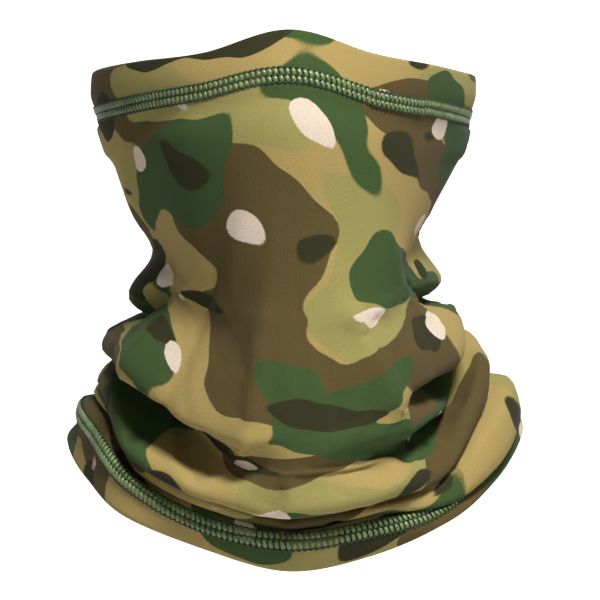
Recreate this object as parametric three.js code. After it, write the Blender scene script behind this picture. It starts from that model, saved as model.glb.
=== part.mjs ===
// Neck gaiter: a tube of stretch jersey with a turned hem at each end, worn over the nose and slouched
// round the neck. Units are millimetres, +Z is up, the face looks towards -Y and +X is the wearer's left.
// The origin is the middle of the neck where the tube is narrowest.
//
// The cloth is one knitted panel. It is built here as four rings that meet edge to edge, because each one
// behaves differently: a doubled top hem, the single layer over the face, the folds that lie round the neck,
// and a doubled bottom hem. Every sewing thread is a piece of its own.
import * as THREE from "three";

// Driving dimensions.
const JERSEY = 0.8; // thickness of one layer of cloth
const DOUBLED = 2 * JERSEY; // thickness of a turned hem
const GAP = 0.4; // space kept between neighbouring pieces
const HEM_DEPTH = 23; // fold to raw edge of the turned hem
const NEEDLE_PITCH = 3.2; // distance between needle rows of the three-needle coverstitch
const RAW_MARGIN = 1; // raw edge beyond the lowest needle row
const THREAD_R = 0.25; // radius of a sewing thread
const COLUMNS = 64; // facets round the tube
const WAVES = 40; // turns of each looped thread, drawn wider apart than the real 2.5 mm stitch
const SEAM_AZIMUTH = THREE.MathUtils.degToRad(105); // closing seam, just behind the wearer's left ear
const SEAM_WIDTH = 6;

// Colours of the materials.
const CLOTH = { color: 0x6a5d3a, roughness: 0.85, metalness: 0 };
const HEM_CLOTH = { color: 0x857a4c, roughness: 0.85, metalness: 0 };
const THREAD = { color: 0x4d6b3c, roughness: 0.6, metalness: 0 };

// A station is one level ring of the worn tube. left, right, front and back are its reaches from the origin,
// and zFront, zSide and zBack its heights; peak is how sharply it climbs from the sides to the front.
const station = (zFront, zSide, zBack, left, right, front, back, peak = 2) => ({
  zFront,
  zSide,
  zBack,
  left,
  right,
  front,
  back,
  peak,
});

const TOP_FOLD = station(90, 75, 71, 82, 78, 101, 82, 5);
const TOP_MID = station(79, 65, 60.5, 81, 77, 105, 83, 5);
const TOP_RAW = station(67.5, 53, 49, 78, 74, 108, 83, 5);
const NOSE = station(47, 38, 37, 75, 71, 112, 82, 3);
const MOUTH = station(9, 19, 20, 68, 63, 106, 77, 2);
const NECK = station(-26, 1, 2, 59, 54, 101, 67, 2);
const UPPER_ROLL = station(-58, -18, -14, 67, 66, 111, 73, 2);
const LOWER_ROLL = station(-90, -42, -38, 80, 83, 114, 78, 2);
const ROLL_FOOT = station(-112, -54, -52, 83, 89, 104, 79, 2);
const BOTTOM_RAW = station(-112, -54, -52, 84, 90, 101, 80, 2);
const BOTTOM_MID = station(-122.5, -65, -62, 90, 95, 98, 83, 2);
const BOTTOM_FOLD = station(-128.5, -73, -68, 93, 97, 92, 86, 2);
// The inside of the folds, where the neck and the underside of the chin come.
const THROAT = station(-42, -14, -12, 57, 53, 88, 64, 2);
const NECK_BASE = station(-80, -40, -36, 62, 62, 84, 66, 2);
const COLLAR = station(-112, -54, -52, 71, 76, 90, 70, 2);

// Moves a whole station inwards, and up or down.
const moved = (s, inwards, up) =>
  station(
    s.zFront + up,
    s.zSide + up,
    s.zBack + up,
    s.left - inwards,
    s.right - inwards,
    s.front - inwards,
    s.back - inwards,
    s.peak,
  );

// The point of a station at an azimuth, counted from the front (-Y) towards +X.
function ringPoint(s, azimuth) {
  const across = Math.sin(azimuth);
  const ahead = Math.cos(azimuth);
  const climb = Math.max(0, ahead) ** s.peak * (s.zFront - s.zSide);
  const rear = Math.max(0, -ahead) ** 2 * (s.zBack - s.zSide);
  return new THREE.Vector3(
    across * (across < 0 ? s.left : s.right),
    -ahead * (ahead > 0 ? s.front : s.back),
    s.zSide + climb + rear,
  );
}

// The line down the cloth at one azimuth, through a list of stations.
const column = (stations, azimuth) =>
  new THREE.CatmullRomCurve3(stations.map((s) => ringPoint(s, azimuth)), false, "centripetal");

// A closed ring of wall: the outer stations run down, and the inner ones come back up.
function wall(outer, inner, outerRows, innerRows) {
  const rows = outerRows + innerRows;
  const positions = [];
  const index = [];
  for (let j = 0; j < COLUMNS; j++) {
    const azimuth = (j / COLUMNS) * 2 * Math.PI;
    const down = column(outer, azimuth).getPoints(outerRows - 1);
    const up = column([...inner].reverse(), azimuth).getPoints(innerRows - 1);
    for (const p of [...down, ...up]) positions.push(p.x, p.y, p.z);
  }
  const at = (i, j) => (j % COLUMNS) * rows + (i % rows);
  for (let j = 0; j < COLUMNS; j++)
    for (let i = 0; i < rows; i++) {
      const [a, b, c, d] = [at(i, j), at(i + 1, j), at(i + 1, j + 1), at(i, j + 1)];
      index.push(a, b, c, a, c, d);
    }
  const geometry = new THREE.BufferGeometry();
  geometry.setAttribute("position", new THREE.Float32BufferAttribute(positions, 3));
  geometry.setIndex(index);
  return geometry;
}

// A wall of even thickness behind its outer stations.
const evenWall = (outer, thickness, rows) =>
  wall(outer, outer.map((s) => moved(s, thickness, 0)), rows, rows);

// A point of the cloth at a share of the way down a list of stations, lifted off it by lift.
function surfacePoint(stations, azimuth, share, lift) {
  const step = 0.01;
  const line = column(stations, azimuth);
  const down = line.getPoint(Math.min(1, share + step)).sub(line.getPoint(Math.max(0, share - step)));
  const round = column(stations, azimuth + step)
    .getPoint(share)
    .sub(column(stations, azimuth - step).getPoint(share));
  const outwards = down.cross(round).normalize();
  return line.getPoint(share).addScaledVector(outwards, lift);
}

// The route of a sewing thread round a hem. share is its place down the hem, and a looped thread swings
// by swing either side of it. It starts and ends a short way either side of the closing seam.
class RoundThread extends THREE.Curve {
  constructor(stations, share, lift, swing = 0) {
    super();
    Object.assign(this, { stations, share, lift, swing });
  }

  getPoint(t, target = new THREE.Vector3()) {
    const margin = 0.01;
    const azimuth = SEAM_AZIMUTH + 2 * Math.PI * (margin + t * (1 - 2 * margin));
    const share = this.share + this.swing * Math.sin(2 * Math.PI * WAVES * t);
    return target.copy(surfacePoint(this.stations, azimuth, share, this.lift));
  }
}

// A thin tube of thread along a curve, with sides faces round it.
function tube(path, steps, sides) {
  const circle = new THREE.EllipseCurve(0, 0, THREAD_R, THREAD_R, 0, 2 * Math.PI);
  const section = new THREE.Shape(circle.getPoints(sides).slice(0, sides));
  return new THREE.ExtrudeGeometry(section, { steps, extrudePath: path, bevelEnabled: false });
}

const part = new THREE.Group();

function add(name, geometry, look) {
  const mesh = new THREE.Mesh(geometry, new THREE.MeshStandardMaterial(look));
  mesh.name = name;
  part.add(mesh);
}

const TOP_HEM = [TOP_FOLD, TOP_MID, TOP_RAW];
const FACE = [moved(TOP_RAW, 0, -GAP), NOSE, MOUTH, moved(NECK, 0, GAP)];
const FOLDS = [NECK, UPPER_ROLL, LOWER_ROLL, ROLL_FOOT];
const FOLDS_INSIDE = [moved(NECK, JERSEY, 0), THROAT, NECK_BASE, COLLAR];
const BOTTOM_HEM = [moved(BOTTOM_RAW, 0, -GAP), BOTTOM_MID, BOTTOM_FOLD];

// The cloth.
add("top_hem", evenWall(TOP_HEM, DOUBLED, 4), HEM_CLOTH);
add("face_panel", evenWall(FACE, JERSEY, 8), CLOTH);
add("neck_folds", wall(FOLDS, FOLDS_INSIDE, 11, 7), CLOTH);
add("bottom_hem", evenWall(BOTTOM_HEM, DOUBLED, 4), HEM_CLOTH);

// The coverstitch of one hem: three needle threads and a cover thread outside, and a looper thread inside.
// middle is the place of the middle needle row, as a share of the way down the hem.
function coverstitch(end, stations, middle) {
  const pitch = NEEDLE_PITCH / HEM_DEPTH;
  const coverLift = GAP + THREAD_R;
  const needleLift = coverLift + 2 * THREAD_R + GAP;
  const needleSteps = 64;
  const loopSteps = 4 * WAVES;
  ["upper", "middle", "lower"].forEach((row, k) => {
    const route = new RoundThread(stations, middle + (k - 1) * pitch, needleLift);
    add(`${end}_${row}_needle_thread`, tube(route, needleSteps, 4), THREAD);
  });
  const cover = new RoundThread(stations, middle, coverLift, pitch);
  add(`${end}_cover_thread`, tube(cover, loopSteps, 3), THREAD);
  const looperLift = -(DOUBLED + 2 * GAP + THREAD_R);
  const looper = new RoundThread(stations, middle, looperLift, pitch);
  add(`${end}_looper_thread`, tube(looper, loopSteps, 3), THREAD);
}

const FROM_RAW_EDGE = (NEEDLE_PITCH + RAW_MARGIN) / HEM_DEPTH;
coverstitch("top", TOP_HEM, 1 - FROM_RAW_EDGE);
coverstitch("bottom", BOTTOM_HEM, FROM_RAW_EDGE);

// The closing seam runs down the inside of the tube: the two lapped edges of the panel, and over them the
// flat thread chain that holds them.
function seamStrip(stations, from, to, behind, width, thickness) {
  const rows = 12;
  const reach = width / 2 / stations[0].right;
  const ends = [-reach, reach].map((turn) => {
    const outside = [];
    const inside = [];
    for (let i = 0; i <= rows; i++) {
      const share = from + ((to - from) * i) / rows;
      outside.push(surfacePoint(stations, SEAM_AZIMUTH + turn, share, -behind));
      inside.push(surfacePoint(stations, SEAM_AZIMUTH + turn, share, -behind - thickness));
    }
    return [...outside, ...inside.reverse()];
  });
  const loop = ends[0].length;
  const positions = ends.flat().flatMap((p) => [p.x, p.y, p.z]);
  const index = [];
  for (let i = 0; i < loop; i++) {
    const next = (i + 1) % loop;
    index.push(i, next, loop + next, i, loop + next, loop + i);
  }
  for (let i = 0; i < rows; i++) {
    const [a, b, c, d] = [i, i + 1, loop - 2 - i, loop - 1 - i];
    index.push(a, c, b, a, d, c);
    index.push(loop + a, loop + b, loop + c, loop + a, loop + c, loop + d);
  }
  const geometry = new THREE.BufferGeometry();
  geometry.setAttribute("position", new THREE.Float32BufferAttribute(positions, 3));
  geometry.setIndex(index);
  return geometry;
}

function closingSeam(name, stations, behind) {
  const lapBehind = behind + GAP;
  const chainBehind = lapBehind + JERSEY + GAP;
  add(`${name}_lap`, seamStrip(stations, 0.04, 0.96, lapBehind, SEAM_WIDTH, JERSEY), CLOTH);
  add(
    `${name}_thread_chain`,
    seamStrip(stations, 0.05, 0.95, chainBehind, SEAM_WIDTH / 2, 2 * THREAD_R),
    THREAD,
  );
}

closingSeam("closing_seam_upper", FACE, JERSEY);
closingSeam("closing_seam_lower", FOLDS_INSIDE, 0);

export default part;
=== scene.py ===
# %% [markdown]
# # A neck gaiter, worn
#
# A neck gaiter is a tube of thin stretch jersey, sewn up one side, with a hem turned in at each end. It is
# pulled over the head, its top edge lies over the nose, and the spare length slouches round the neck in
# folds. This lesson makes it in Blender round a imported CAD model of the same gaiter, which already fixes its
# size, its place and how it moves. Everything is in metres, +Z is up, the face looks towards -Y and +X is the
# wearer's left.
#
# The cloth is the hard part, so it is made first: one grid of points, worked out as whole arrays. The print,
# the stitching and the closing seam then all lie on that same grid.

# %% Load the frame
import math
import bpy
import numpy as np
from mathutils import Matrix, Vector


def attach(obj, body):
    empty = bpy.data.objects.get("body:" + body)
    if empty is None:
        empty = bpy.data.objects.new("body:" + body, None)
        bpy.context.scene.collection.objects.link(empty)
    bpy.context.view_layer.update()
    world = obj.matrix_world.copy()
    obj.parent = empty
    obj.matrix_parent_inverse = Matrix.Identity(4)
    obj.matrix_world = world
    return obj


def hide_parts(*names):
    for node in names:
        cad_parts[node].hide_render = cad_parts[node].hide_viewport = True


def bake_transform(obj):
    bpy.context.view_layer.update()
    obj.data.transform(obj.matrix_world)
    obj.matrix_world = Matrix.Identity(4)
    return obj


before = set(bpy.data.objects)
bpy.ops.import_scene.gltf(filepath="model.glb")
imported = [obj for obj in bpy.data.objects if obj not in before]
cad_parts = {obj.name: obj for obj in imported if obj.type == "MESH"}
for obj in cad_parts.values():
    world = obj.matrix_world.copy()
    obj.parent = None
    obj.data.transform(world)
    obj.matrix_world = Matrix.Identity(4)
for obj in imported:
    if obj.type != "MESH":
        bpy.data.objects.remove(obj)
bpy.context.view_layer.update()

# %% [markdown]
# ## Camera, light and floor
#
# The gaiter is seen straight from the front, from far away, so that near and far parts keep almost the same
# scale. A long lens does that. A soft light hangs high in front of the gaiter, a little towards +X, and a
# weaker one fills each side. A bowl of white paper makes the floor and a round wall, so that every view from
# the side or from above has paper behind it. The wall behind the gaiter glows, as one lit from behind does.

# %% Camera
MM = 0.001
CAMERA_DISTANCE = 2.5
VIEW_WIDTH = 0.252
VIEW_CENTRE = (0.0042, -0.0189)
SENSOR = 36.0

camera_data = bpy.data.cameras.new("camera")
camera_data.sensor_width = SENSOR
camera_data.lens = SENSOR * CAMERA_DISTANCE / VIEW_WIDTH
camera_data.clip_end = 20
camera = bpy.data.objects.new("camera", camera_data)
camera.location = (VIEW_CENTRE[0], -CAMERA_DISTANCE, VIEW_CENTRE[1])
camera.rotation_euler = (math.radians(90), 0, 0)
bpy.context.collection.objects.link(camera)
bpy.context.scene.camera = camera
bpy.context.scene.view_settings.view_transform = "Standard"
print("lens:", round(camera_data.lens), "mm")


# %% Lights
def area_light(name, place, size, power, target=(0, 0, -0.02)):
    """A square soft light at place, in metres, turned so that it shines at target."""
    data = bpy.data.lights.new(name, "AREA")
    data.size = size
    data.energy = power
    light = bpy.data.objects.new(name, data)
    light.location = place
    towards = Vector(target) - Vector(place)
    light.rotation_euler = towards.to_track_quat("-Z", "Y").to_euler()
    bpy.context.collection.objects.link(light)
    return light


area_light("key_light", (0.4, -1.05, 1.5), 0.55, 46)
area_light("left_fill", (-1.5, -1.1, 0.25), 0.9, 1.2)
area_light("right_fill", (1.5, -1.0, 0.35), 0.9, 2.5)
world = bpy.data.worlds.new("studio")
world.use_nodes = True
world.node_tree.nodes["Background"].inputs["Color"].default_value = (1, 1, 1, 1)
world.node_tree.nodes["Background"].inputs["Strength"].default_value = 0.02
bpy.context.scene.world = world

# %% [markdown]
# ## Two small helpers
#
# Every surface here is a grid of points: rows run along the piece and columns run round it. One helper turns
# such a grid into a mesh. A material is a set of nodes, and the nodes are easier to read as sums, so a second
# helper wraps a socket in a class whose +, - and * add the Math nodes.


# %% A grid becomes a mesh
def grid_faces(rows, columns, wraps_columns=False, wraps_rows=False):
    """The quads of a grid whose points are numbered row by row. A grid that wraps joins its ends."""
    i = np.arange(rows if wraps_rows else rows - 1)
    j = np.arange(columns if wraps_columns else columns - 1)
    i, j = np.meshgrid(i, j, indexing="ij")
    below, beside = (i + 1) % rows, (j + 1) % columns
    corners = [i * columns + j, below * columns + j, below * columns + beside, i * columns + beside]
    return np.stack(corners, axis=-1).reshape(-1, 4)


def mesh_object(name, points, faces):
    """A smooth-shaded mesh object at the origin, from an array of points and an array of quads."""
    mesh = bpy.data.meshes.new(name)
    mesh.from_pydata(points.reshape(-1, 3).tolist(), [], faces.tolist())
    mesh.shade_smooth()
    piece = bpy.data.objects.new(name, mesh)
    bpy.context.collection.objects.link(piece)
    return piece


# %% Shader sums
class Value:
    """A number or colour that comes out of a node. +, - and * on it add Math nodes."""

    def __init__(self, finish, socket):
        self.finish = finish
        self.socket = socket

    def __add__(self, other):
        return self.finish.math("ADD", self, other)

    def __sub__(self, other):
        return self.finish.math("SUBTRACT", self, other)

    def __rsub__(self, other):
        return self.finish.math("SUBTRACT", other, self)

    def __mul__(self, other):
        return self.finish.math("MULTIPLY", self, other)

    __radd__ = __add__
    __rmul__ = __mul__


class Finish:
    """A material with one Principled shader, and the methods that add its nodes."""

    def __init__(self, name, **constants):
        self.material = bpy.data.materials.new(name)
        self.material.use_nodes = True
        self.nodes = self.material.node_tree.nodes
        self.links = self.material.node_tree.links
        self.shader = self.nodes["Principled BSDF"]
        for label, value in constants.items():
            self.shader.inputs[label.replace("_", " ").title().replace("Ior", "IOR")].default_value = value

    def feed(self, socket, value):
        """Links a Value to the socket, or sets the socket to a plain number or colour."""
        if isinstance(value, Value):
            self.links.new(value.socket, socket)
        else:
            socket.default_value = value

    def node(self, kind, settings, inputs, output=0):
        """Adds a node: its settings first, then the values or links of its inputs."""
        made = self.nodes.new(kind)
        for label, value in settings.items():
            setattr(made, label, value)
        for label, value in inputs.items():
            self.feed(made.inputs[label], value)
        return Value(self, made.outputs[output])

    def math(self, operation, first, second):
        return self.node("ShaderNodeMath", {"operation": operation}, {0: first, 1: second})

    def between(self, value, low, high):
        """0 below low and 1 above high, with a smooth step from one to the other."""
        settings = {"interpolation_type": "SMOOTHSTEP"}
        return self.node("ShaderNodeMapRange", settings, {"Value": value, "From Min": low, "From Max": high})

    def mix(self, share, first, second):
        """The first colour where share is 0 and the second where it is 1."""
        inputs = {0: share, 6: first, 7: second}
        return self.node("ShaderNodeMix", {"data_type": "RGBA"}, inputs, output=2)

    def attribute(self, name):
        return self.node("ShaderNodeAttribute", {"attribute_name": name}, {}, output="Fac")

    def noise(self, place, scale, detail=2.0):
        inputs = {"Vector": place, "Scale": scale, "Detail": detail}
        return self.node("ShaderNodeTexNoise", {}, inputs)

    def set(self, label, value):
        self.feed(self.shader.inputs[label], value)

    def bump(self, height, strength, distance):
        inputs = {"Height": height, "Strength": strength, "Distance": distance}
        self.set("Normal", self.node("ShaderNodeBump", {}, inputs))


# %% The paper bowl
BOWL_PATH = ((0.0, -0.45), (4.6, -0.45), (5.3, -0.33), (5.7, 0.1), (5.9, 4.0))
BOWL_ROWS = 40
BOWL_COLUMNS = 96
GLOW_FROM = 3.6
GLOW_FULL = 4.6


def bowl():
    """A floor that curves up into a round wall: the path, as (radius, height), turned about the Z axis."""
    path = np.array(BOWL_PATH)
    along = np.linspace(0, len(path) - 1, BOWL_ROWS)
    radius = np.interp(along, np.arange(len(path)), path[:, 0])[:, None]
    height = np.interp(along, np.arange(len(path)), path[:, 1])[:, None]
    turn = np.arange(BOWL_COLUMNS) / BOWL_COLUMNS * 2 * np.pi
    points = np.stack([radius * np.sin(turn), radius * np.cos(turn), height + 0 * turn], axis=-1)
    return mesh_object("paper_bowl", points, grid_faces(len(along), BOWL_COLUMNS, wraps_columns=True))


paper = Finish("white_paper", base_color=(0.8, 0.8, 0.8, 1), roughness=0.9)
place = paper.node("ShaderNodeTexCoord", {}, {}, output="Object")
behind = paper.node("ShaderNodeSeparateXYZ", {}, {"Vector": place}, output="Y")
glow = paper.between(behind, GLOW_FROM, GLOW_FULL)
paper.set("Emission Color", paper.mix(glow, (0, 0, 0, 1), (1, 1, 1, 1)))
paper.set("Emission Strength", 0.9)
floor = bowl()
floor.data.materials.append(paper.material)

# %% [markdown]
# ## The shape of the worn cloth
#
# The tube is cut here at twelve azimuths, counted from the front towards the wearer's left. At each one the
# cloth is a line that starts at the top fold, runs down the face, goes in and out over each roll, and ends at
# the bottom fold. Its points are (reach from the axis, height), in millimetres, and every azimuth has the
# same points in the same order: a crest at one side and the same crest at the front are one fold. Between
# azimuths the points run in smooth curves. Cloth simulation could find such folds by itself, but not these
# ones in these places, so the lofted shape leads and a short simulation settles it afterwards.

# %% Profiles down the cloth
# Rows of points, in order: top hem; face down to the neck; first roll and the crease under it; second roll,
# its lip and the notch under it; arm and bowl; belly, its lip and the tuck behind it; third roll, its lip and
# crease; bottom hem.
PROFILES = {
    -90: [
        (82, 75.5), (82.5, 66), (79.5, 58.5), (77.5, 51),
        (74, 41), (66, 18), (57.3, 1),
        (67, -17), (57, -27),
        (69, -28), (77, -33), (76, -39), (63, -38),
        (60, -40), (62, -42),
        (71, -43), (77.5, -48), (77.5, -54), (64, -51),
        (75, -54), (82, -57), (81, -58.5), (75, -58),
        (84, -60), (87.5, -63.5), (88, -69.5), (93, -76),
    ],
    -62: [
        (86, 77), (86.5, 68), (84.5, 59.5), (83.5, 52),
        (80, 39), (72, 18), (62, 0),
        (71, -13), (58, -23),
        (72, -28), (82, -35), (82, -43), (62, -41),
        (57, -44), (61, -48),
        (74, -50), (84, -54), (84, -61), (68, -57),
        (79, -60), (87, -64), (86, -66.5), (79, -66),
        (88, -69), (92, -73.5), (93, -82), (95, -92),
    ],
    -42: [
        (91, 78.5), (92, 70), (90.5, 62), (89, 54),
        (88, 42), (80, 18), (70, -2),
        (71, -11), (70, -18),
        (81, -28), (92, -41), (95.5, -53), (77, -52),
        (65, -56), (66, -64),
        (80, -72), (95, -76), (97, -82), (77, -77),
        (86, -81), (94, -85), (94, -89), (84, -87),
        (93, -88), (98, -93), (99, -100), (100, -107),
    ],
    -21: [
        (97.5, 80.9), (99.5, 73), (100, 65.2), (101, 57),
        (104, 44), (99, 12), (93, -10),
        (91, -19), (92, -28),
        (97, -42), (103, -56), (106, -69), (97, -71),
        (88, -73), (84, -79),
        (92, -87), (104, -91), (105.5, -97), (84, -93),
        (92, -96), (98, -100), (98, -103.5), (88, -102),
        (96, -104), (98, -109.8), (97, -115), (94.5, -119.9),
    ],
    0: [
        (99, 90), (103, 81), (107, 71.3), (109, 63),
        (112.5, 48), (109, 12), (107, -18),
        (108, -30), (109.5, -42),
        (111.5, -55), (113.3, -66), (113.8, -73), (113.6, -78),
        (113.2, -82), (112.8, -86),
        (113.2, -91), (113.5, -98), (110, -107), (89, -104),
        (94, -107), (99, -109), (97, -111.5), (90, -110),
        (96, -112), (98.5, -116), (97, -122.5), (94, -128.4),
    ],
    21: [
        (96.5, 80.5), (98, 71.5), (98.5, 62.4), (99.5, 55),
        (101.5, 42), (99, 10), (99, -13),
        (100, -21), (102, -29),
        (105, -40), (107, -50), (108, -60), (108, -67),
        (107, -74), (99, -80),
        (101, -85), (106.5, -93), (104, -99.5), (86, -96.5),
        (93, -100.5), (99, -103.5), (98, -106), (90, -105.5),
        (95, -107), (98.5, -111.3), (98, -117), (95, -122),
    ],
    42: [
        (88.5, 76.8), (88.5, 68), (87, 59.6), (85.5, 52),
        (84, 39), (78, 16), (70, -3),
        (71, -11), (72, -18),
        (79, -27), (87, -38), (88, -50), (73, -55),
        (89, -65), (77, -73),
        (83, -78), (93, -83), (94, -90), (78, -86),
        (88, -89), (96, -94), (97.5, -101), (86, -98),
        (90, -101), (95, -103), (97, -106.5), (98, -108.5),
    ],
    62: [
        (81.2, 75), (81.5, 66), (78.5, 58), (77.5, 51),
        (74, 39), (66, 19), (57, 3),
        (64, -11), (56, -19),
        (69, -24), (79, -34), (78, -45), (53, -49),
        (74, -59), (60, -64.5),
        (76, -62.5), (86, -57), (88, -67), (74, -65),
        (85, -68.5), (95, -72), (98, -85), (86, -83),
        (87.5, -85), (91, -86.5), (94, -89.5), (96, -93),
    ],
    90: [
        (77, 74.5), (77, 66), (74, 57), (73, 50),
        (70, 40), (59, 19), (53.5, 6),
        (63, -10), (55, -18),
        (65, -20), (70, -24), (70, -29), (64, -29),
        (68, -32), (66, -33),
        (74, -33), (80, -39), (82, -48), (70, -47),
        (82, -48), (92, -53), (94, -62), (84, -60),
        (87, -61), (92.5, -63), (95.5, -67), (97, -72),
    ],
    135: [
        (81, 72), (82, 64), (82.5, 56), (81, 49),
        (79, 38), (70, 20), (61, 4),
        (69, -7), (59, -15),
        (67, -18), (75, -23), (75, -29), (66, -31),
        (65, -33), (66, -35),
        (74, -38), (81, -43), (82, -49), (69, -48),
        (79, -51), (86, -56), (86, -61), (76, -60),
        (83, -61), (87, -64), (89, -68), (91, -72),
    ],
    180: [
        (81.5, 71), (82.5, 62), (82.5, 54), (82, 47),
        (81, 37), (75, 20), (66, 4),
        (73, -6), (63, -13),
        (70, -17), (77, -22), (76, -28), (67, -28),
        (66, -31), (67, -33),
        (75, -36), (81, -41), (81, -47), (69, -46),
        (77, -48), (82, -52), (81.5, -56), (74, -56),
        (79, -57), (82, -60.5), (84, -65), (86, -69),
    ],
    -135: [
        (82, 72.5), (83, 64), (83, 56), (82, 49),
        (79, 38), (71, 20), (62, 3),
        (71, -9), (60, -18),
        (69, -21), (77, -26), (76, -32), (66, -32),
        (65, -34), (66, -36),
        (74, -39), (80, -44), (80.5, -50), (68, -48),
        (77, -51), (83, -55), (83, -59), (75, -58),
        (82, -59), (86, -63), (88, -67), (90.5, -71.5),
    ],
}
print("profiles:", len(PROFILES), "points on each:", {len(line) for line in PROFILES.values()})


# %% Smooth curves through the points
def smooth_through(knots, values, places):
    """A cubic through values at knots, along the first axis. The slope at each knot is that of the line
    between its two neighbours, so the curve has no corners."""
    rise = np.empty_like(values)
    width = (knots[2:] - knots[:-2]).reshape(-1, *[1] * (values.ndim - 1))
    rise[1:-1] = (values[2:] - values[:-2]) / width
    rise[0] = (values[1] - values[0]) / (knots[1] - knots[0])
    rise[-1] = (values[-1] - values[-2]) / (knots[-1] - knots[-2])
    left = np.clip(np.searchsorted(knots, places, side="right") - 1, 0, len(knots) - 2)
    gap = (knots[left + 1] - knots[left]).reshape(-1, *[1] * (values.ndim - 1))
    t = (places - knots[left]).reshape(gap.shape) / gap
    start, end = values[left], values[left + 1]
    bend_start, bend_end = rise[left] * gap, rise[left + 1] * gap
    return (
        start * (2 * t**3 - 3 * t**2 + 1)
        + bend_start * (t**3 - 2 * t**2 + t)
        + end * (3 * t**2 - 2 * t**3)
        + bend_end * (t**3 - t**2)
    )


# %% Ridges where the cloth is pulled
# Each: (azimuth at its top, azimuth at its foot, first line, last line, height in mm, half-width in degrees).
# A line is counted in points down the profiles, so line 6 is the neck and line 16 the belly.
RIDGES = (
    (-4, -11, 5.5, 14.0, 5.4, 3.4),
    (11, 27, 6.0, 13.0, 5.8, 3.2),
    (20, 33, 7.5, 11.6, -2.4, 4.5),
    (-17, -33, 5.0, 12.0, -2.8, 3.5),
    (-27, -50, 6.0, 11.5, 2.6, 4),
    (24, 46, 5.0, 9.0, 2.4, 4),
    (-9, -21, 4.6, 8.0, 1.5, 3),
    (4, 13, 6.5, 12.0, -1.6, 3.5),
    (-38, -20, 14.6, 17.0, 2.0, 4),
    (40, 16, 14.6, 17.0, 2.2, 4),
    (-85, -80, 2.6, 4.0, 2.5, 14),
    (83, 78, 2.6, 4.0, 2.5, 14),
)


def ridges(azimuth, line):
    """How far the pulled cloth stands out, in mm. A ridge falls off evenly on each side of its own line, and
    fades in and out along it."""
    total = 0.0
    for top, foot, first, last, height, half_width in RIDGES:
        along = (line - first) / (last - first)
        middle = top + (foot - top) * along
        fade = np.clip(np.minimum(along, 1 - along) * 4 + 0.4, 0, 1) * ((along > -0.1) & (along < 1.1))
        total = total + height * fade * np.exp(-np.abs(azimuth - middle) / half_width)
    return total


# %% [markdown]
# ## The cloth inside the folds
#
# A slouched gaiter keeps most of its spare length out of sight: at the back of each fold the cloth runs in
# towards the neck, and at the front it also runs up behind the fold above before it turns down again. So
# the hidden turn of each fold is pushed in and up from where the profile has it, but never into the neck
# and never closer than a few millimetres to the layer above it.

# %% Hidden turns
# Each: line: (mm inwards at the front, mm inwards elsewhere, mm up at the front, mm up elsewhere).
HIDDEN_TURNS = {8: (0, 8, 0, 0), 12: (0, 4, 0, 0), 14: (0, 6, 0, 0), 18: (18, 18, 15, 5), 22: (12, 12, 9, 4)}
NECK_REACH = {"side": 60, "front": 84, "back": 64}
CLEAR_BELOW = 5.0
CLEAR_AFTER = 2.2


def height_at(reach, points):
    """The height at a reach of the straight lines through some (reach, height) points."""
    points = sorted(points)
    return float(np.interp(reach, [point[0] for point in points], [point[1] for point in points]))


def with_hidden_turns(azimuth, profile):
    """The profile with its hidden turns moved. What is given for the front fades into what is given for
    elsewhere with the cube of the cosine of the azimuth. The point after a turn lies clear of the layer
    that ran in to it."""
    ahead = math.cos(math.radians(azimuth))
    end = "front" if ahead > 0 else "back"
    neck = NECK_REACH["side"] + (NECK_REACH[end] - NECK_REACH["side"]) * ahead**2
    front = max(0, ahead) ** 3
    moved = list(profile)
    for line, (in_front, in_rest, up_front, up_rest) in HIDDEN_TURNS.items():
        reach, height = profile[line]
        lift = up_rest + (up_front - up_rest) * front
        reach = max(min(reach, neck), reach - in_rest - (in_front - in_rest) * front)
        if lift > 0:
            ceiling = height_at(reach, moved[line - 4 : line - 1]) - CLEAR_BELOW
            height = max(height, min(height + lift, ceiling))
            after_reach, after_height = profile[line + 1]
            roof = height_at(after_reach, [moved[line - 1], (reach, height)]) - CLEAR_AFTER
            moved[line + 1] = (after_reach, min(after_height, roof))
        moved[line] = (reach, height)
    return moved


# %% The loft
SEAM_TURN = math.radians(105)
LOFT_COLUMNS = 168
LOFT_ROW_STEP = 4.2


def loft(columns, row_step):
    """The cloth as a grid of points: rows run down it, and columns run round it from the closing seam. Also
    gives the line, counted in profile points, that each row lies on."""
    azimuths = SEAM_TURN + np.arange(columns) / columns * 2 * np.pi
    turned = (azimuths + np.pi) % (2 * np.pi) - np.pi
    order = sorted(PROFILES)
    turns = np.radians(np.array(order, float))
    lines = np.array([with_hidden_turns(azimuth, PROFILES[azimuth]) for azimuth in order], float)
    around = np.concatenate([turns[-3:] - 2 * np.pi, turns, turns[:3] + 2 * np.pi])
    net = smooth_through(around, np.concatenate([lines[-3:], lines, lines[:3]]), turned)
    lengths = np.linalg.norm(np.diff(net, axis=1), axis=2).mean(axis=0)
    knots = np.concatenate([[0], np.cumsum(np.sqrt(lengths))])
    places = [knots[:1]]
    for start, end, length in zip(knots[:-1], knots[1:], lengths):
        count = max(1, round(length / row_step))
        places.append(start + (end - start) * np.arange(1, count + 1) / count)
    places = np.concatenate(places)
    down = smooth_through(knots, net.transpose(1, 0, 2), places)
    row_lines = np.interp(places, knots, np.arange(len(knots)))
    reach = down[..., 0]
    grid = np.stack([reach * np.sin(azimuths), -reach * np.cos(azimuths), down[..., 1]], axis=-1) * MM
    return grid, row_lines


cloth, row_lines = loft(LOFT_COLUMNS, LOFT_ROW_STEP)
print("loft:", cloth.shape[0], "rows of", cloth.shape[1], "points")

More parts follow.
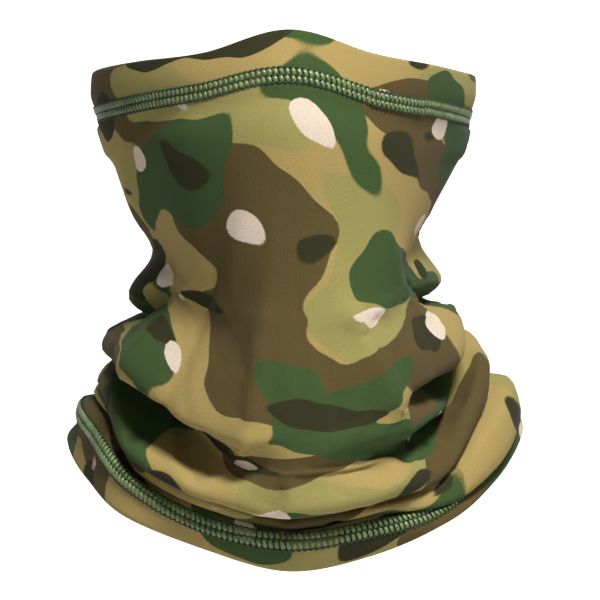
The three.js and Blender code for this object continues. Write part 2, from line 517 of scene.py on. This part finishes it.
# %% [markdown]
# ## Letting the cloth settle
#
# A lofted fold is too even to look like cloth. Blender's Cloth lets the folds sag under their own weight,
# crease where they are pushed together and rest on each other. The top hem and the face are pulled tight on
# the real wearer, so they are held, and so is the bottom hem, which lies on the shoulders. The folds between
# are held only by weak springs. The solver likes big objects better than small ones, so the cloth is settled
# at ten times its size. At the middle of the front the chin keeps the cloth taut, so there the settled cloth
# is eased back to the loft.

# %% Settle
SIM_SCALE = 10.0
SETTLE_FRAMES = 18
HELD_LINES = (0, 5, 7, 22, 24, 26)
HELD_SHARES = (1.0, 1.0, 0.35, 0.35, 0.8, 1.0)


def settle(grid, row_lines):
    """The same grid of points after a short drop."""
    rows, columns = grid.shape[:2]
    trial = mesh_object("settling", grid * SIM_SCALE, grid_faces(rows, columns, wraps_columns=True))
    held = trial.vertex_groups.new(name="held")
    for row, share in enumerate(np.interp(row_lines, HELD_LINES, HELD_SHARES)):
        held.add(list(range(row * columns, (row + 1) * columns)), float(share), "REPLACE")
    cloth_modifier = trial.modifiers.new("cloth", "CLOTH")
    jersey = cloth_modifier.settings
    jersey.quality = 6
    jersey.mass = 0.15
    jersey.tension_stiffness = 12
    jersey.compression_stiffness = 12
    jersey.shear_stiffness = 4
    jersey.bending_stiffness = 0.15
    jersey.air_damping = 3
    jersey.vertex_group_mass = "held"
    jersey.pin_stiffness = 1.2
    jersey.shrink_min = -0.015
    touch = cloth_modifier.collision_settings
    touch.use_collision = False
    touch.use_self_collision = True
    touch.self_distance_min = 0.011
    touch.self_friction = 8
    touch.collision_quality = 3
    cloth_modifier.point_cache.frame_start = 1
    cloth_modifier.point_cache.frame_end = SETTLE_FRAMES
    for number in range(1, SETTLE_FRAMES + 1):
        bpy.context.scene.frame_set(number)
    result = trial.evaluated_get(bpy.context.evaluated_depsgraph_get())
    settled = np.empty(grid.size)
    result.data.vertices.foreach_get("co", settled)
    bpy.data.objects.remove(trial)
    bpy.context.scene.frame_set(1)
    return settled.reshape(grid.shape) / SIM_SCALE


FRONT_LINES = (9, 11, 14, 16)
FRONT_HALF_WIDTH = 15.0


def front_share(azimuth, line):
    """1 at the middle of the front, between the neck and the belly, where the chin keeps the cloth taut. It
    falls off round the cloth as a bell curve."""
    return np.exp(-((azimuth / FRONT_HALF_WIDTH) ** 2)) * np.interp(line, FRONT_LINES, (0, 1, 1, 0))


lofted = cloth
cloth = settle(lofted, row_lines)
print("settled by up to", round(np.linalg.norm(cloth - lofted, axis=2).max() / MM, 1), "mm")
turns = SEAM_TURN + np.arange(LOFT_COLUMNS) / LOFT_COLUMNS * 2 * np.pi
turns = np.degrees((turns + np.pi) % (2 * np.pi) - np.pi)
taut = front_share(turns, row_lines[:, None])[..., None]
cloth = cloth + (lofted - cloth) * taut

# %% [markdown]
# ## A finer grid, and the two hems
#
# The settled grid is coarse, so smooth curves are run along its rows and then down its columns to fill in
# more points. Each hem is the same cloth turned inside and stitched down, so the finished grid starts at the
# raw edge inside the top hem, climbs to the fold, runs all the way down the outside, turns at the bottom
# fold and climbs to the other raw edge. It stays one sheet, and its thickness is added at the very end.

# %% Finer grid
COLUMNS = 256
ROW_STEP = 1.9
FOLD_STEPS = (0.3, 0.9)


def finer(grid, row_lines):
    """More points on the same surface, close together by the two folds. Also gives each row's line and its
    length down the cloth in mm, as the mean over the columns."""
    old = np.arange(-3, grid.shape[1] + 3)
    round_it = grid[:, old % grid.shape[1]].transpose(1, 0, 2)
    spread = smooth_through(old.astype(float), round_it, np.arange(COLUMNS) / COLUMNS * grid.shape[1])
    steps = np.linalg.norm(np.diff(spread, axis=1), axis=2).mean(axis=0) / MM
    lengths = np.concatenate([[0], np.cumsum(steps)])
    total = lengths[-1]
    even = np.linspace(0, total, round(total / ROW_STEP))[1:-1]
    down = np.concatenate([[0], FOLD_STEPS, even, total - np.array(FOLD_STEPS[::-1]), [total]])
    knots = np.arange(len(lengths), dtype=float)
    places = np.interp(down, lengths, knots)
    fine = smooth_through(knots, spread.transpose(1, 0, 2), places)
    return fine, np.interp(places, knots, row_lines), down


outside, row_lines, down_cloth = finer(cloth, row_lines)
print("outside:", outside.shape[0], "rows,", round(down_cloth[-1]), "mm down the cloth")


# %% Directions on the grid
def directions(grid):
    """Unit arrays over a grid that wraps: down the cloth, round it, and straight out of it."""
    down = np.gradient(grid, axis=0)
    across = np.roll(grid, -1, axis=1) - np.roll(grid, 1, axis=1)
    down /= np.linalg.norm(down, axis=2, keepdims=True)
    across /= np.linalg.norm(across, axis=2, keepdims=True)
    out = np.cross(down, across)
    return down, across, out / np.linalg.norm(out, axis=2, keepdims=True)


# %% Ridges on the settled cloth
columns_round = SEAM_TURN + np.arange(COLUMNS) / COLUMNS * 2 * np.pi
azimuths = np.degrees((columns_round + np.pi) % (2 * np.pi) - np.pi)
raised = ridges(azimuths, row_lines[:, None])
outside = outside + directions(outside)[2] * (raised * MM)[..., None]
print("ridges stand out by up to", round(raised.max(), 1), "mm")

# %% Turned hems
TOP_SEAM_LINE = 2
BOTTOM_SEAM_LINE = 24
NEEDLE_PITCH = 3.2
RAW_MARGIN = 1.2
LAYER_GAP = 1.1
CLOSES_OVER = 3  # mm past the raw edge in which the gap between the two layers closes
TUCK_DEPTH = 0.5
TUCK_COLUMNS = 0.8

top_seam = np.interp(TOP_SEAM_LINE, row_lines, down_cloth)
bottom_seam = np.interp(BOTTOM_SEAM_LINE, row_lines, down_cloth)
hem_reach = NEEDLE_PITCH + RAW_MARGIN
from_fold = np.minimum(down_cloth, down_cloth[-1] - down_cloth)
hem_depth = np.where(down_cloth < down_cloth[-1] / 2, top_seam, down_cloth[-1] - bottom_seam) + hem_reach
beyond = np.clip((from_fold - hem_depth) / CLOSES_OVER, 0, 1)
opening = np.sqrt(1 - (1 - np.clip(from_fold / LAYER_GAP, 0, 1)) ** 2) * (1 - beyond)
half_gap = (opening * LAYER_GAP / 2 * MM)[:, None, None]
out = directions(outside)[2]
seam_distance = np.minimum(np.arange(COLUMNS), COLUMNS - np.arange(COLUMNS))
seam_groove = (TUCK_DEPTH * MM * np.exp(-((seam_distance / TUCK_COLUMNS) ** 2)))[None, :, None]
front_layer = outside + out * half_gap - out * seam_groove
turned_layer = outside - out * half_gap
top_rows = np.nonzero((down_cloth > 0) & (down_cloth <= top_seam + hem_reach))[0][::-1]
bottom_rows = np.nonzero((down_cloth < down_cloth[-1]) & (down_cloth >= bottom_seam - hem_reach))[0][::-1]
sheet_points = np.concatenate([turned_layer[top_rows], front_layer, turned_layer[bottom_rows]])
sheet_down = np.concatenate(
    [-down_cloth[top_rows], down_cloth, 2 * down_cloth[-1] - down_cloth[bottom_rows]]
)
cloth_piece = mesh_object(
    "gaiter_cloth", sheet_points, grid_faces(len(sheet_points), COLUMNS, wraps_columns=True)
)
print("cloth:", len(cloth_piece.data.polygons), "quads; hems", len(top_rows), "and", len(bottom_rows), "rows")

# %% [markdown]
# ## The print
#
# The jersey is printed before it is cut, so the pattern belongs to the flat cloth and not to the worn shape:
# it goes into a fold and comes out again on the other side. This is a plain woodland camouflage. One way to
# make it would be to draw each blotch, but a rule is shorter and gives a print that is nobody's design. For
# each ink, many waves of random direction and phase are added up over the flat cloth. Where the sum is above
# a level there is ink, and the level is set so that the ink covers its share of the cloth. Divided by its
# usual slope, the sum is about the distance in mm to the edge of the ink, which the material turns into a
# clean edge.

# %% Blotches
# Each ink: (size of a blotch in mm, how much longer it is across than down, share of the cloth).
BLOTCHES = {
    "olive": (40, 1.5, 0.34),
    "brown": (38, 1.7, 0.38),
    "green": (30, 1.6, 0.32),
    "dark": (19, 1.8, 0.10),
    "pale": (17, 1.5, 0.035),
}
FLAT_WIDTH = 500.0
WAVES = 60
rng = np.random.default_rng(23)


def blotch_depth(across, down, size, stretch, share):
    """About how many mm each flat place lies inside the nearest blotch."""
    turn = rng.uniform(0, 2 * np.pi, WAVES)
    pitch = 2 * np.pi / (size * rng.uniform(0.9, 2.4, WAVES))
    phase = rng.uniform(0, 2 * np.pi, WAVES)
    right, below = np.cos(turn) * pitch / stretch, np.sin(turn) * pitch
    total = sum(np.sin(across * r + down * b + p) for r, b, p in zip(right, below, phase))
    slope = np.sqrt(np.sum(right**2 + below**2) / 2)
    return (total - np.quantile(total, 1 - share)) / slope


flat_across = (np.arange(COLUMNS + 1) / COLUMNS + SEAM_TURN / (2 * np.pi) - 1) * FLAT_WIDTH
across, down = np.meshgrid(flat_across, sheet_down)
waver = 1.6 * np.sin(down / 6.3 + across / 17) + 0.8 * np.sin(down / 2.9 - across / 4.1)
drift = 1.4 * np.sin(across / 7.1 + down / 15) + 0.7 * np.sin(across / 3.3 + down / 3.7)
corners = grid_faces(len(sheet_down), COLUMNS + 1).reshape(-1)
mesh = cloth_piece.data
for ink, (size, stretch, share) in BLOTCHES.items():
    depth = blotch_depth(across + waver, down + drift, size, stretch, share)
    attribute = mesh.attributes.new(ink, "FLOAT", "CORNER")
    attribute.data.foreach_set("value", depth.reshape(-1)[corners].astype(np.float32))
flat_map = mesh.uv_layers.new(name="flat")
places = np.stack([across, down], axis=-1).reshape(-1, 2)[corners] * MM
flat_map.data.foreach_set("uv", places.reshape(-1).astype(np.float32))
print("inks:", list(BLOTCHES), "on", len(corners), "corners")

# %% [markdown]
# ## The finish of the jersey
#
# Thin polyester jersey is smooth and matt, with a faint sheen where it turns away. The inks lie over each
# other in the order they are printed, and bleed a little along the yarns, so each edge is rough by a quarter
# of a millimetre. The yarn takes the ink unevenly, which gives a fine melange. The knit, ribs down the cloth
# and loops across it, is only felt in the light, so it is a bump. The reverse is the bare side of a printed
# cloth, so it is pale with the print just showing through.

# %% Jersey
# The linear colours of the inks; khaki is the ground they are printed on.
INKS = {
    "khaki": (0.37, 0.272, 0.094, 1),
    "olive": (0.30, 0.262, 0.086, 1),
    "brown": (0.098, 0.070, 0.024, 1),
    "green": (0.048, 0.084, 0.026, 1),
    "dark": (0.033, 0.032, 0.013, 1),
    "pale": (0.68, 0.56, 0.44, 1),
}
UNPRINTED = (0.55, 0.53, 0.47, 1)
EDGE = 0.28
RIBS_PER_M = 1500
LOOPS_PER_M = 1200


def jersey_finish(name, show_through):
    """The printed cloth. show_through is how much of the print shows, 1 on its face."""
    finish = Finish(name, roughness=0.85, sheen_weight=0.03, sheen_roughness=0.5)
    finish.shader.inputs["Specular IOR Level"].default_value = 0.1
    flat = finish.node("ShaderNodeUVMap", {"uv_map": "flat"}, {})
    grain = finish.noise(flat, 1700, 1.0)
    bleed = (grain - 0.5) * 0.5
    colour = INKS["khaki"]
    for ink in BLOTCHES:
        share = finish.between(finish.attribute(ink) + bleed, -EDGE, EDGE)
        colour = finish.mix(share, colour, INKS[ink])
    melange = finish.between(grain, 0.3, 0.7) * 0.14 + 0.93
    shade = (finish.noise(flat, 9, 3.0) * 0.22 + 0.89) * melange
    toned = finish.node("ShaderNodeVectorMath", {"operation": "SCALE"}, {0: colour, "Scale": shade})
    finish.set("Base Color", finish.mix(show_through, UNPRINTED, toned) if show_through < 1 else toned)
    split = finish.node("ShaderNodeSeparateXYZ", {}, {"Vector": flat})
    ribs = finish.math("SINE", split * (RIBS_PER_M * 2 * math.pi), 0)
    loops = finish.node("ShaderNodeSeparateXYZ", {}, {"Vector": flat}, output="Y")
    loops = finish.math("SINE", loops * (LOOPS_PER_M * 2 * math.pi), 0)
    finish.bump(ribs * 0.5 + ribs * loops * 0.5 + grain * 0.5, 0.3, 0.0001)
    return finish.material


mesh.materials.append(jersey_finish("printed_jersey", 1.0))
mesh.materials.append(jersey_finish("jersey_reverse", 0.3))
CLOTH_THICKNESS = 0.7
solidify = cloth_piece.modifiers.new("thickness", "SOLIDIFY")
solidify.thickness = CLOTH_THICKNESS * MM
solidify.offset = 0
solidify.material_offset = 1
solidify.material_offset_rim = 1

# %% [markdown]
# ## The coverstitch
#
# Each hem is held down by a three-needle coverstitch. From outside it is three dark lines, where the needle
# threads pull into the cloth, with two columns of fat shiny rungs between them: the cover thread, which is
# a fluffed thread that crosses from needle to needle. Inside, a looper thread joins the three rows. The
# stitching starts at one azimuth, goes right round, and runs on over its own start for a short way.
#
# All of it is placed on the cloth grid: a place is (mm round the seam, mm below its middle, mm above the
# cloth).


# %% Places on the cloth
class SeamPath:
    """Places near one stitched line of the cloth, read from the grid by straight interpolation."""

    def __init__(self, layer, line):
        self.layer = layer
        self.row = np.interp(line, row_lines, np.arange(len(row_lines)))
        self.out = directions(layer)[2]
        upper = self.at(layer, np.arange(COLUMNS), np.full(COLUMNS, self.row - 1))
        lower = self.at(layer, np.arange(COLUMNS), np.full(COLUMNS, self.row + 1))
        self.row_height = np.linalg.norm(lower - upper, axis=-1) / 2 / MM
        middle = self.at(layer, np.arange(COLUMNS + 1), np.full(COLUMNS + 1, self.row))
        steps = np.linalg.norm(np.diff(middle, axis=0), axis=-1) / MM
        self.round_mm = np.concatenate([[0], np.cumsum(steps)])

    @staticmethod
    def at(layer, column, row):
        """The layer's value at fractional columns and rows, the mean of the four corners around it."""
        j, i = np.floor(column).astype(int), np.floor(row).astype(int)
        fj, fi = (column - j)[..., None], (row - i)[..., None]
        j, k = j % COLUMNS, (j + 1) % COLUMNS
        i = np.clip(i, 0, layer.shape[0] - 2)
        upper = layer[i, j] * (1 - fj) + layer[i, k] * fj
        lower = layer[i + 1, j] * (1 - fj) + layer[i + 1, k] * fj
        return upper * (1 - fi) + lower * fi

    def place(self, along, across, lift):
        """The point along mm round the seam, across mm below its middle and lift mm off the cloth."""
        length = self.round_mm[-1]
        column = np.interp(along % length, self.round_mm, np.arange(COLUMNS + 1))
        height = np.interp(column, np.arange(COLUMNS + 1), np.append(self.row_height, self.row_height[0]))
        row = self.row + across / height
        point = self.at(self.layer, column, row)
        normal = self.at(self.out, column, row)
        normal /= np.linalg.norm(normal, axis=-1, keepdims=True)
        return point + normal * (lift * MM)[..., None], normal


# %% A thread along points
TUBE_END_SHARE = 0.05


def thread_tubes(paths, normals, half_width, half_height, sides):
    """Tubes of oval section along many paths at once: paths is (threads, steps, 3). The section's height
    points along the normals and its width lies square to both. Each tube narrows to a point at its ends."""
    along = np.gradient(paths, axis=1)
    along /= np.linalg.norm(along, axis=2, keepdims=True)
    side = np.cross(along, normals)
    side /= np.linalg.norm(side, axis=2, keepdims=True)
    up = np.cross(side, along)
    steps = paths.shape[1]
    turn = np.arange(sides) / sides * 2 * np.pi
    narrow = np.ones(steps)
    narrow[[0, -1]] = TUBE_END_SHARE
    narrow = narrow[None, :, None, None] * MM
    ring = (
        side[:, :, None] * np.cos(turn)[None, None, :, None] * half_width
        + up[:, :, None] * np.sin(turn)[None, None, :, None] * half_height
    )
    points = paths[:, :, None] + ring * narrow
    one = grid_faces(steps, sides, wraps_columns=True)
    starts = np.arange(len(paths)) * steps * sides
    faces = (one[None] + starts[:, None, None]).reshape(-1, 4)
    caps = np.arange(sides)
    return points.reshape(-1, 3), faces, starts[:, None] + caps, starts[:, None] + (steps - 1) * sides + caps


def thread_object(name, paths, normals, half_width, half_height, sides):
    """Closed tubes in one mesh: the sides are quads and each end is closed by one flat cap."""
    points, faces, first, last = thread_tubes(paths, normals, half_width, half_height, sides)
    mesh = bpy.data.meshes.new(name)
    mesh.from_pydata(points.tolist(), [], faces.tolist() + first[:, ::-1].tolist() + last.tolist())
    mesh.shade_smooth()
    piece = bpy.data.objects.new(name, mesh)
    bpy.context.collection.objects.link(piece)
    return piece


# %% Thread finish
def thread_finish(name, colour, shine, roughness):
    """Twisted polyester thread: fine fibre noise in colour and bump, and a soft shine."""
    finish = Finish(name, roughness=roughness)
    finish.shader.inputs["Sheen Weight"].default_value = 0.1
    finish.shader.inputs["Specular IOR Level"].default_value = shine
    place = finish.node("ShaderNodeTexCoord", {}, {}, output="Object")
    fibres = finish.noise(place, 2600, 2.0)
    drift = finish.noise(place, 160, 1.0)
    dark = tuple(0.5 * c for c in colour[:3]) + (1,)
    light = tuple(min(1, 1.5 * c) for c in colour[:3]) + (1,)
    finish.set("Base Color", finish.mix(finish.between(fibres * 0.7 + drift * 0.3, 0.38, 0.62), dark, light))
    finish.bump(fibres, 0.5, 0.00015)
    return finish.material


needle_green = thread_finish("needle_thread_green", (0.020, 0.042, 0.014), 0.4, 0.6)
cover_green = thread_finish("cover_thread_green", (0.130, 0.195, 0.058), 0.8, 0.32)

# %% Stitches
# A section is (half-width in mm, half-height in mm, sides).
COVER_SECTION = (0.92, 0.42, 8)
NEEDLE_SECTION = (0.40, 0.34, 6)
LOOPER_SECTION = (0.32, 0.28, 6)
STITCH = 2.4
OVERLAP_MM = 34.0
SECOND_LAYER = 0.45  # how far the stitches that run over the start are shifted and raised
RUNG_POINTS = 7
RUNG_LEAN = 1.1
RUNG_MARGIN = 0.15
NEEDLE_STEPS = 5
LOOPER_STEPS = 8
LOOPER_LIFT = -0.75


def cover_rungs(path, start, stitch, raised):
    """The rungs of the cover thread, one for each stitch and column, as points and normals. Each leans along
    the seam and arches over the cloth from one needle row to the next."""
    t = np.linspace(0, 1, RUNG_POINTS)
    rungs, rung_normals = [], []
    for top in (-NEEDLE_PITCH, 0.0):
        along = start + stitch[:, None] * STITCH + (t[None] - 0.5) * RUNG_LEAN
        across = top + RUNG_MARGIN + t[None] * (NEEDLE_PITCH - 2 * RUNG_MARGIN) + raised[:, None]
        lift = 0.30 + 0.62 * np.sin(np.pi * t)[None] ** 0.7 + raised[:, None]
        points, normals = path.place(along, np.broadcast_to(across, along.shape), lift)
        rungs.append(points)
        rung_normals.append(normals)
    return np.concatenate(rungs), np.concatenate(rung_normals)


def needle_line(path, start, stitch, raised, across):
    """One needle thread, which dips into the cloth at each stitch. The outer two also wander a little."""
    t = np.arange(len(stitch) * NEEDLE_STEPS + 1) / NEEDLE_STEPS
    second = np.interp(t, stitch, raised)
    wander = 0.28 * np.sin(2 * np.pi * t) * np.sign(across)
    lift = 0.62 + 0.22 * np.cos(2 * np.pi * t) + second
    return path.place(start + (t - 0.5) * STITCH, across + wander + second, lift)


def looper_line(path, start, stitch):
    """The looper thread inside the hem, which swings from the upper needle row to the lower one and back."""
    t = np.arange(len(stitch) * LOOPER_STEPS + 1) / LOOPER_STEPS
    swing = NEEDLE_PITCH * np.sin(np.pi * t)
    return path.place(start + t * STITCH, swing, np.full(t.shape, LOOPER_LIFT))


def coverstitch(end, line, start_azimuth, body):
    """All the threads of one hem, as five pieces that stand for the five CAD threads."""
    outer = SeamPath(front_layer, line)
    inner = SeamPath(turned_layer, line)
    start = ((math.radians(start_azimuth) - SEAM_TURN) / (2 * np.pi) % 1) * outer.round_mm[-1]
    stitch = np.arange(round((outer.round_mm[-1] + OVERLAP_MM) / STITCH))
    raised = np.where(stitch * STITCH > outer.round_mm[-1], SECOND_LAYER, 0.0)
    pieces = []

    points, normals = cover_rungs(outer, start, stitch, raised)
    cover = thread_object(f"{end}_cover_stitches", points, normals, *COVER_SECTION)
    cover.data.materials.append(cover_green)
    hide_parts(f"{end}_cover_thread")
    pieces.append(cover)

    for row, across in (("upper", -NEEDLE_PITCH), ("middle", 0.0), ("lower", NEEDLE_PITCH)):
        points, normals = needle_line(outer, start, stitch, raised, across)
        needle = thread_object(f"{end}_{row}_needle_stitches", points[None], normals[None], *NEEDLE_SECTION)
        needle.data.materials.append(needle_green)
        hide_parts(f"{end}_{row}_needle_thread")
        pieces.append(needle)

    points, normals = looper_line(inner, start, stitch)
    looper = thread_object(f"{end}_looper_stitches", points[None], normals[None], *LOOPER_SECTION)
    looper.data.materials.append(cover_green)
    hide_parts(f"{end}_looper_thread")
    pieces.append(looper)
    for piece in pieces:
        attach(piece, body)
    return pieces


stitches = coverstitch("top", TOP_SEAM_LINE, 21, "face_edge")
stitches += coverstitch("bottom", BOTTOM_SEAM_LINE, 105, "neck_and_shoulders")
print("stitch faces:", {piece.name: len(piece.data.polygons) for piece in stitches})

# %% [markdown]
# ## The closing seam
#
# The panel is closed into a tube by one flat seam: its two edges lap inside, and a chain of thread holds the
# lap down. It runs down the inside of the tube behind the wearer's left ear, between the two hems.

# %% Closing seam
LAP_WIDTH = 6.0
LAP_BEHIND = 0.85
CHAIN_BEHIND = 1.5
CHAIN_STITCH = 2.0
CHAIN_SWING = 2.3
CHAIN_STEPS = 6
CHAIN_SECTION = (0.28, 0.25, 6)
LAP_POINTS = 5

clear_of_hems = (down_cloth > top_seam + hem_reach + 1) & (down_cloth < bottom_seam - hem_reach - 1)
seam_rows = np.nonzero(clear_of_hems)[0].astype(float)
column_width = np.linalg.norm(np.roll(outside, -1, axis=1) - outside, axis=2).mean(axis=1) / MM


def beside_seam(rows, mm_round, behind):
    """Points mm_round to one side of the closing seam and behind mm inside the cloth, one for each row."""
    columns = mm_round / np.interp(rows, np.arange(len(column_width)), column_width) % COLUMNS
    normals = SeamPath.at(out, columns, rows)
    normals /= np.linalg.norm(normals, axis=1, keepdims=True)
    return SeamPath.at(outside, columns, rows) - normals * behind * MM, normals


lap_places = np.linspace(-LAP_WIDTH / 2, LAP_WIDTH / 2, LAP_POINTS)
strips = [beside_seam(seam_rows, mm, LAP_BEHIND)[0] for mm in lap_places]
lap_faces = grid_faces(len(seam_rows), LAP_POINTS)[:, ::-1]
lap = mesh_object("closing_seam_lap", np.stack(strips, axis=1), lap_faces)
lap.data.materials.append(bpy.data.materials["jersey_reverse"])
wall = lap.modifiers.new("thickness", "SOLIDIFY")
wall.thickness = CLOTH_THICKNESS * MM
wall.offset = 0
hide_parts("closing_seam_upper_lap", "closing_seam_lower_lap")

steps = np.linalg.norm(np.diff(strips[LAP_POINTS // 2], axis=0), axis=1) / MM
lengths = np.concatenate([[0], np.cumsum(steps)])
along = np.arange(0, lengths[-1], CHAIN_STITCH / CHAIN_STEPS)
chain_rows = np.interp(along, lengths, seam_rows)
swing = CHAIN_SWING * np.sin(np.pi * along / CHAIN_STITCH)
points, normals = beside_seam(chain_rows, swing, CHAIN_BEHIND)
chain = thread_object("closing_seam_stitches", points[None], normals[None], *CHAIN_SECTION)
chain.data.materials.append(cover_green)
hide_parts("closing_seam_upper_thread_chain", "closing_seam_lower_thread_chain")
print("closing seam:", round(lengths[-1]), "mm")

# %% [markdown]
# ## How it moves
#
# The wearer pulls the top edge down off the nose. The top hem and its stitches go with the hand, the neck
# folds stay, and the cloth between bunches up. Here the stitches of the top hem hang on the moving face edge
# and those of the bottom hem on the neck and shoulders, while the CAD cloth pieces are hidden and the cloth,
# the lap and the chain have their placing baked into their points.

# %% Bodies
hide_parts("top_hem", "face_panel", "neck_folds", "bottom_hem")
for piece in (cloth_piece, lap, chain):
    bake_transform(piece)
